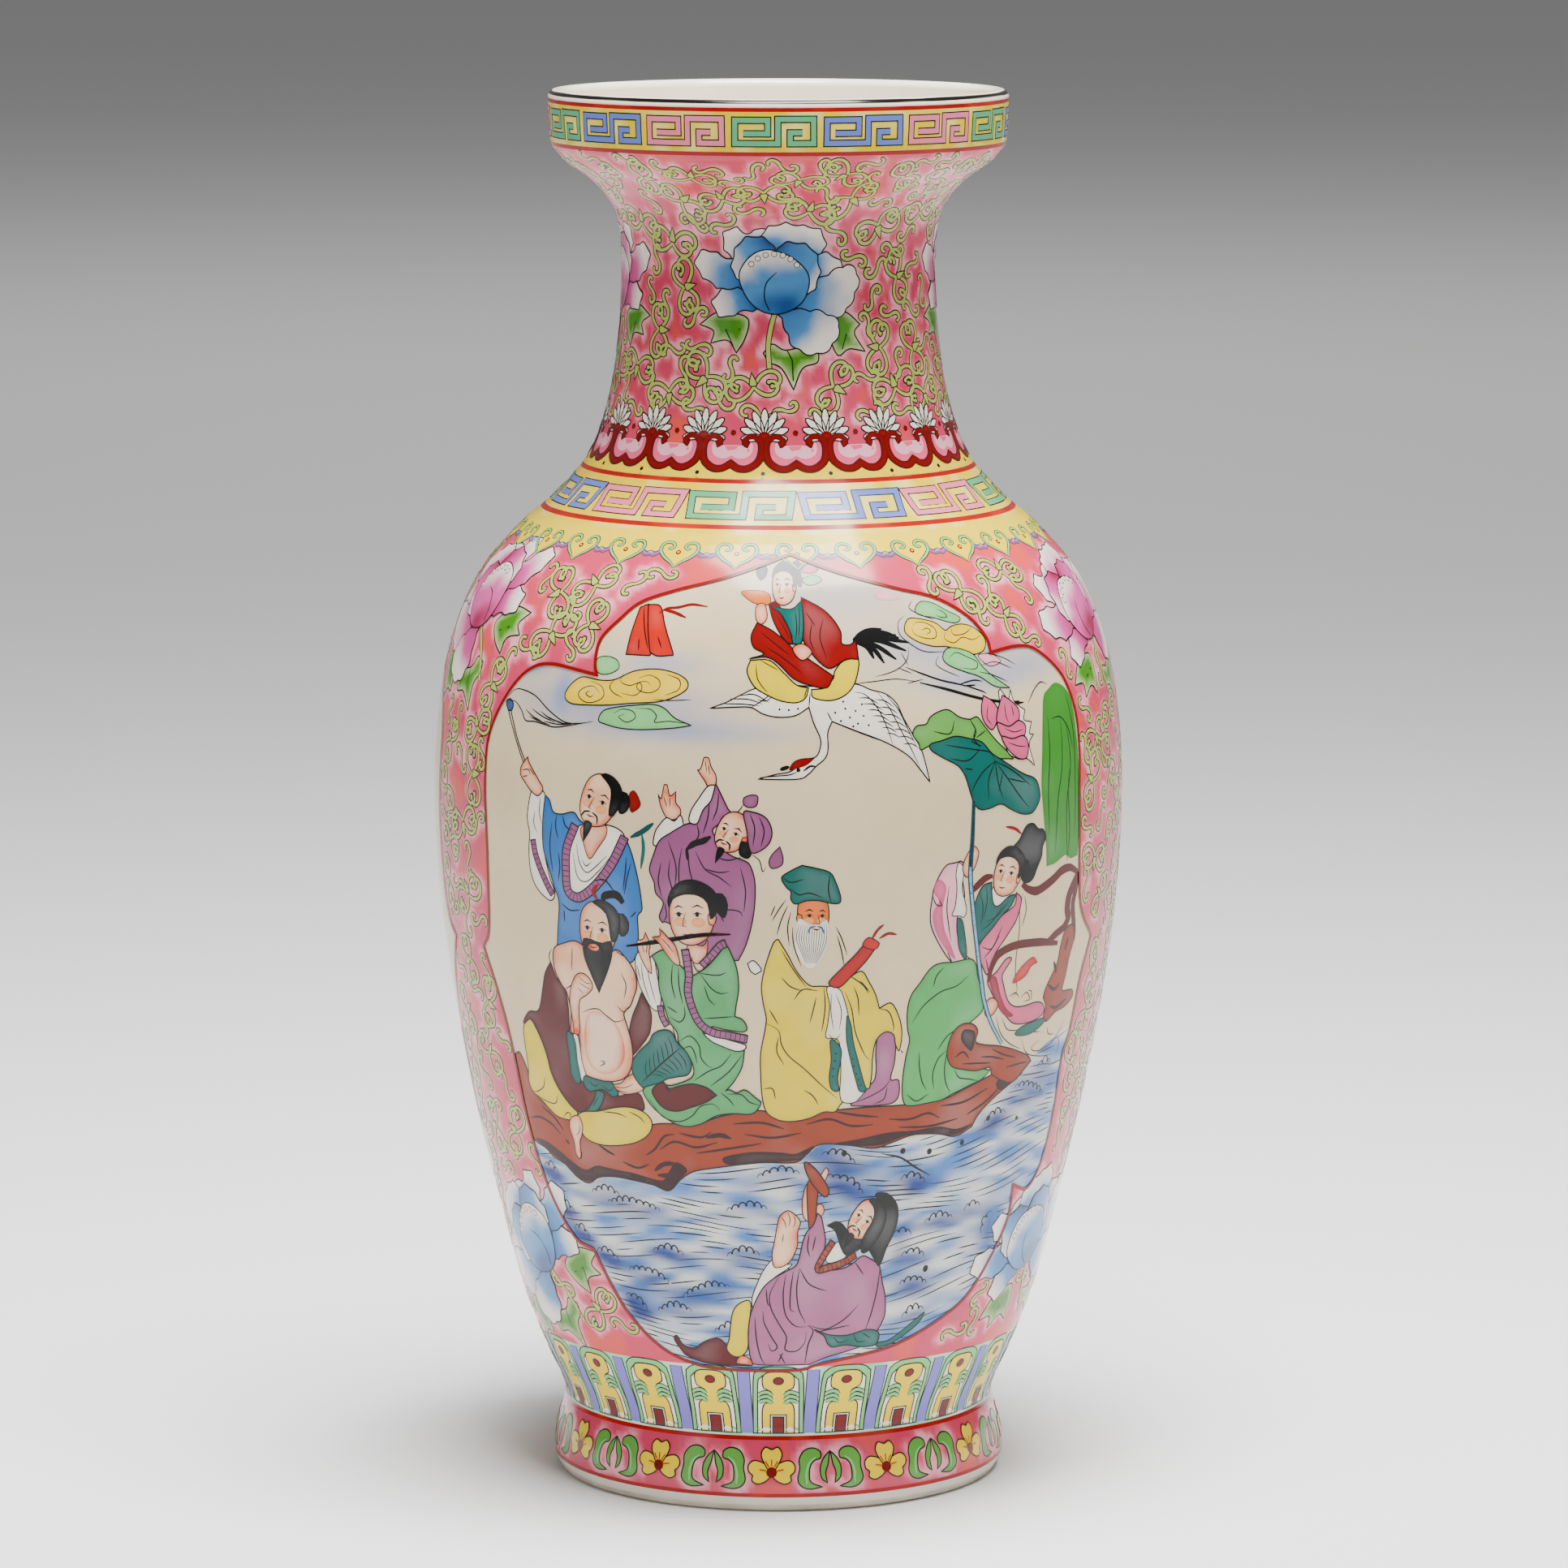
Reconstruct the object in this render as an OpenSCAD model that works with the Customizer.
// Tall baluster vase with a flared mouth, an applied foot ring and painted enamel bands.
// The body is luted from thrown sections with slip, then glazed, then enamelled.
// Every shell follows one outer profile, and neighbouring shells share its levels.

/* [Vase] */
// Height of the vase from the foot to the rim
vase_h = 460; // [457:1:470]
// Radius of the mouth just below the lip
mouth_r = 75.6; // [74:0.1:78]
// Radius of the neck where it is narrowest
neck_r = 51.4; // [48:0.1:54]
// Radius of the belly where it is widest
belly_r = 114; // [112:0.5:118]
// Radius of the waist above the foot
waist_r = 71.3; // [70:0.1:73]
// Radius of the foot where it is widest
foot_r = 75.2; // [74:0.1:77]

/* [Walls] */
// Thickness of the whole wall at the lip, glaze and enamel included
lip_t = 5.2; // [5:0.1:6]
// Thickness of the whole wall at the waist, glaze and enamel included
waist_t = 8; // [7:0.1:9]
// Thickness of the enamel colours
enamel_t = 0.3; // [0.25:0.05:0.4]
// Thickness of the clear glaze on the outside
glaze_t = 0.6; // [0.5:0.05:0.8]
// Thickness of the glaze inside
inside_t = 0.9; // [0.7:0.05:1.1]
// Height of a luting line of slip
slip_h = 1; // [0.6:0.1:1.5]

/* [Foot] */
// Inner radius of the recess under the base
recess_r = 64; // [63.5:0.1:64.4]
// Depth of the recess under the base, its glaze included
recess_h = 12; // [10:0.5:14]
// Thickness of the base disc
base_t = 10; // [8:0.5:10]
// Height of the foot edge that is left without glaze
bare_h = 2.5; // [2:0.1:3]

/* [Painting] */
// Direction of the front scene panel's middle, turned from -Y towards +X
front_turn = 2; // [-5:1:5]
// Direction of the back scene panel's middle, turned from -Y towards +X
back_turn = 193; // [188:1:196]
// How much wider than the front panel the back panel is
back_widen = 1.6; // [1:0.05:1.6]
// Height of a painted red line
line_h = 1.3; // [1:0.1:1.6]

/* [Hidden] */
$fn = 96;

// Lip: a half round on top of the wall.
lip_c = mouth_r - lip_t / 2;
lip_z = vase_h - lip_t / 2;
lip_step = 15;

// Outer profile, [height, radius], from the foot up to the lip.
profile = [
    [0, foot_r - 1.6], [6, foot_r], [16, foot_r - 1.2], [22, waist_r + 1], [26, waist_r],
    [32, waist_r + 1.7], [39, 76.4], [60, 84.8], [94, 93.8], [138, 103.8],
    [188, belly_r - 2.4], [230, belly_r], [262, belly_r - 2.2], [285, 106.2], [302, 98.2],
    [316, 86.4], [328, 72.8], [340, 62.8], [355, 56.9], [378, neck_r + 1.4],
    [402, neck_r], [415, neck_r + 0.8], [424, neck_r + 4.2], [432, 63.2], [437, mouth_r - 5],
    [441, mouth_r - 1.6], [446, mouth_r - 0.6], [lip_z, mouth_r]
];

// Heights of the painted edges.
foot_line_z = 5.2;
foot_top_z = 23.6;
lappet_top_z = 50;
collar_z = 305;
shoulder_line_z = 323;
neck_line_z = 336.4;
ruyi_top_z = 361;
mouth_line_z = 441.6;
rim_line_z = 456;

// Heights of the luting lines of slip, each slip_h high.
foot_joint_z = 27;
belly_joint_z = 150;
shoulder_joint_z = 262;
neck_joint_z = 345;
mouth_joint_z = 421;

// Rows of a scene panel, [lowest height, half width of the front panel in degrees]:
// round lobes that step in at the cusps. The last row ends at the collar.
panel_rows = [
    [lappet_top_z, 24], [60, 34], [72, 43], [89, 50], [105, 55], [130, 59],
    [178, 62], [192, 58], [256, 54], [270, 47], [281, 34], [294, 26]
];

// Levels that every shell shares: the edges above and even steps between them.
edges = sorted(concat(
    [for (row = panel_rows) row[0]],
    [for (z = [foot_line_z, foot_top_z, shoulder_line_z, neck_line_z, mouth_line_z, rim_line_z])
        each [z, z + line_h]],
    [for (z = [foot_joint_z, belly_joint_z, shoulder_joint_z, neck_joint_z, mouth_joint_z])
        each [z, z + slip_h]],
    [bare_h, collar_z, ruyi_top_z, lip_z]
));
level_step = 5.5;
levels = [
    for (i = [0 : len(edges) - 2])
        let (n = ceil((edges[i + 1] - edges[i]) / level_step))
        for (k = [0 : n - 1]) edges[i] + (edges[i + 1] - edges[i]) * k / n,
    lip_z
];

// Hairline between two rows of a stepped panel, so that each row is a closed solid of its own.
row_gap = 0.04;

// Interior: the floor and the height where the wall takes over.
floor_z = recess_h + base_t;
base_r = recess_r - 2;

// Index of the profile stretch that holds height z.
function stretch(z, i = 0) = (i >= len(profile) - 2 || z < profile[i + 1][0]) ? i : stretch(z, i + 1);

// Slope of the profile at one of its own points.
function knot_slope(i) =
    let (a = profile[max(i - 1, 0)], b = profile[min(i + 1, len(profile) - 1)])
    (b[1] - a[1]) / (b[0] - a[0]);

// Radius of the outer profile at height z: a smooth cubic through its points.
function radius(z) =
    let (i = stretch(z), p = profile[i], q = profile[i + 1], h = q[0] - p[0], t = (z - p[0]) / h)
    (2 * t ^ 3 - 3 * t ^ 2 + 1) * p[1] + (t ^ 3 - 2 * t ^ 2 + t) * h * knot_slope(i)
    + (3 * t ^ 2 - 2 * t ^ 3) * q[1] + (t ^ 3 - t ^ 2) * h * knot_slope(i + 1);

// Slope of the outer profile at height z.
function incline(z) = (radius(min(z + 0.2, lip_z)) - radius(z - 0.2)) / (min(z + 0.2, lip_z) - z + 0.2);

// Radius of the surface that lies depth under the outer profile at height z.
function under(z, depth) = z >= lip_z ? lip_c + lip_t / 2 - depth : radius(z) - depth * sqrt(1 + incline(z) ^ 2);

// Thickness of the whole wall at height z.
function wall(z) = lip_t + (waist_t - lip_t) * (lip_z - z) / (lip_z - foot_joint_z);

// Radii of the four surfaces at height z, from outside to inside.
function enamel_in(z) = under(z, enamel_t);
function glaze_in(z) = under(z, enamel_t + glaze_t);
function wall_in(z) = z >= lip_z ? lip_c - lip_t / 2 + inside_t : under(z, wall(z) - inside_t);
function inside_in(z) = z >= lip_z ? lip_c - lip_t / 2 : under(z, wall(z));

// The numbers of a list from low to high, each once.
function sorted(v) = len(v) < 2 ? v : concat(
    sorted([for (x = v) if (x < v[0]) x]), [v[0]], sorted([for (x = v) if (x > v[0]) x]));

function between(a, b) = [for (z = levels) if (z >= a - 0.001 && z <= b + 0.001) z];
function flip(list) = [for (i = [len(list) - 1 : -1 : 0]) list[i]];
function lip_arc(a, b, r) = [for (t = [a : lip_step : b]) [lip_c + r * cos(t), lip_z + r * sin(t)]];

// Turned shell of enamel from height a to height b.
module enamel(a, b) {
    zs = between(a, b);
    rotate_extrude()
        polygon(concat([for (z = zs) [radius(z), z]], [for (z = flip(zs)) [enamel_in(z), z]]));
}

// Turned porcelain wall from height a to height b.
module wall_section(a, b) {
    zs = between(a, b);
    rotate_extrude()
        polygon(concat([for (z = zs) [glaze_in(z), z]], [for (z = flip(zs)) [wall_in(z), z]]));
}

// Lowest and highest level, and half width, of a row of a scene panel.
function row_low(i) = panel_rows[i][0];
function row_high(i) = i < len(panel_rows) - 1 ? panel_rows[i + 1][0] : collar_z;
function row_half(i) = panel_rows[i][1];

// One row of a panel or of the ground beside it: a sector of enamel, open by the hairline at its top.
module row_sector(i, turn, sweep) {
    top = row_high(i) - row_gap;
    zs = concat(between(row_low(i), row_high(i) - 0.01), [top]);
    rotate([0, 0, turn])
        rotate_extrude(angle = sweep)
            polygon(concat([for (z = zs) [radius(z), z]], [for (z = flip(zs)) [enamel_in(z), z]]));
}

// Scene panel with its middle at turn, counted from -Y: one sector of enamel a row.
module panel(turn, widen)
    for (i = [0 : len(panel_rows) - 1])
        let (half = widen * row_half(i))
        row_sector(i, turn - 90 - half, 2 * half);

module mouth_section() {
    zs = between(mouth_joint_z + slip_h, lip_z);
    porcelain = lip_t / 2 - enamel_t - glaze_t;
    color("ivory")
        rotate_extrude()
            polygon(concat(
                [for (z = zs) if (z < lip_z) [glaze_in(z), z]],
                lip_arc(0, 180, porcelain),
                [for (z = flip(zs)) if (z < lip_z) [wall_in(z), z]]));
}

module neck_section() color("ivory") wall_section(neck_joint_z + slip_h, mouth_joint_z);

module shoulder_section() color("ivory") wall_section(shoulder_joint_z + slip_h, neck_joint_z);

module belly_section() color("ivory") wall_section(belly_joint_z + slip_h, shoulder_joint_z);

module lower_body_section() color("ivory") wall_section(foot_joint_z + slip_h, belly_joint_z);

module foot_ring() {
    zs = between(bare_h, foot_joint_z);
    color("ivory")
        rotate_extrude()
            polygon(concat(
                [[recess_r + 2.2, 0], [glaze_in(bare_h) - 1.6, 0], [glaze_in(bare_h) - 0.5, 0.6]],
                [for (z = zs) [glaze_in(z), z]],
                [[wall_in(foot_joint_z), foot_joint_z], [base_r + 1, floor_z], [base_r + 1, recess_h],
                 [recess_r, recess_h], [recess_r, bare_h], [recess_r + 0.7, 0.8]]));
}

module base_disc()
    color("ivory")
        translate([0, 0, recess_h]) cylinder(h = base_t, r = base_r);

module mouth_joint_slip() color("antiquewhite") wall_section(mouth_joint_z, mouth_joint_z + slip_h);

module neck_joint_slip() color("antiquewhite") wall_section(neck_joint_z, neck_joint_z + slip_h);

module shoulder_joint_slip() color("antiquewhite") wall_section(shoulder_joint_z, shoulder_joint_z + slip_h);

module belly_joint_slip() color("antiquewhite") wall_section(belly_joint_z, belly_joint_z + slip_h);

module foot_joint_slip() color("antiquewhite") wall_section(foot_joint_z, foot_joint_z + slip_h);

module base_joint_slip()
    color("antiquewhite")
        rotate_extrude()
            translate([base_r, recess_h]) square([1, base_t]);

module outside_glaze() {
    zs = between(bare_h, lip_z);
    color("white")
        rotate_extrude()
            polygon(concat(
                [for (z = zs) if (z < lip_z) [enamel_in(z), z]],
                lip_arc(0, 90, lip_t / 2 - enamel_t),
                flip(lip_arc(0, 90, lip_t / 2 - enamel_t - glaze_t)),
                [for (z = flip(zs)) if (z < lip_z) [glaze_in(z), z]]));
}

module inside_glaze() {
    zs = between(foot_joint_z, lip_z);
    fillet = 3;
    color("white")
        rotate_extrude()
            polygon(concat(
                [[0, floor_z], [base_r + 1, floor_z]],
                [for (z = zs) if (z < lip_z) [wall_in(z), z]],
                flip(lip_arc(90, 180, lip_t / 2 - enamel_t - glaze_t)),
                lip_arc(90, 180, lip_t / 2),
                [for (z = flip(zs)) if (z < lip_z) [inside_in(z), z]],
                [[base_r, floor_z + inside_t + 1], [base_r - fillet, floor_z + inside_t],
                 [0, floor_z + inside_t]]));
}

module base_glaze()
    color("white")
        rotate_extrude()
            polygon([
                [0, recess_h - glaze_t], [recess_r - 2, recess_h - glaze_t],
                [recess_r - glaze_t, recess_h - 2], [recess_r - glaze_t, bare_h + 0.5],
                [recess_r, bare_h + 0.5], [recess_r, recess_h], [0, recess_h]]);

module rim_edge_line()
    color("saddlebrown")
        rotate_extrude()
            polygon(concat(
                lip_arc(0, 90, lip_t / 2), flip(lip_arc(0, 90, lip_t / 2 - enamel_t)),
                [[enamel_in(rim_line_z + line_h), rim_line_z + line_h],
                 [radius(rim_line_z + line_h), rim_line_z + line_h]]));

module rim_red_line() color("firebrick") enamel(rim_line_z, rim_line_z + line_h);

module mouth_fret_band() color("khaki") enamel(mouth_line_z + line_h, rim_line_z);

module mouth_red_line() color("firebrick") enamel(mouth_line_z, mouth_line_z + line_h);

module neck_pink_ground() color("lightpink") enamel(ruyi_top_z, mouth_line_z);

module ruyi_border() color("tomato") enamel(neck_line_z + line_h, ruyi_top_z);

module shoulder_upper_red_line() color("firebrick") enamel(neck_line_z, neck_line_z + line_h);

module shoulder_fret_band() color("khaki") enamel(shoulder_line_z + line_h, neck_line_z);

module shoulder_lower_red_line() color("firebrick") enamel(shoulder_line_z, shoulder_line_z + line_h);

module scallop_collar() color("khaki") enamel(collar_z, shoulder_line_z);

// The pink ground fills what the two panels leave: one strip on each side.
module body_pink_ground()
    color("lightpink")
        for (i = [0 : len(panel_rows) - 1])
            let (front = row_half(i), back = back_widen * row_half(i)) {
                row_sector(i, front_turn - 90 + front, back_turn - back - front_turn - front);
                row_sector(i, back_turn - 90 + back, front_turn + 360 - front - back_turn - back);
            }

module front_scene_panel() color("whitesmoke") panel(front_turn, 1);

module back_scene_panel() color("whitesmoke") panel(back_turn, back_widen);

module lappet_border() color("palegreen") enamel(foot_top_z + line_h, lappet_top_z);

module foot_upper_red_line() color("firebrick") enamel(foot_top_z, foot_top_z + line_h);

module foot_flower_band() color("lightpink") enamel(foot_line_z + line_h, foot_top_z);

module foot_lower_red_line() color("firebrick") enamel(foot_line_z, foot_line_z + line_h);

mouth_section();
neck_section();
shoulder_section();
belly_section();
lower_body_section();
foot_ring();
base_disc();
mouth_joint_slip();
neck_joint_slip();
shoulder_joint_slip();
belly_joint_slip();
foot_joint_slip();
base_joint_slip();
outside_glaze();
inside_glaze();
base_glaze();
rim_edge_line();
rim_red_line();
mouth_fret_band();
mouth_red_line();
neck_pink_ground();
ruyi_border();
shoulder_upper_red_line();
shoulder_fret_band();
shoulder_lower_red_line();
scallop_collar();
body_pink_ground();
front_scene_panel();
back_scene_panel();
lappet_border();
foot_upper_red_line();
foot_flower_band();
foot_lower_red_line();
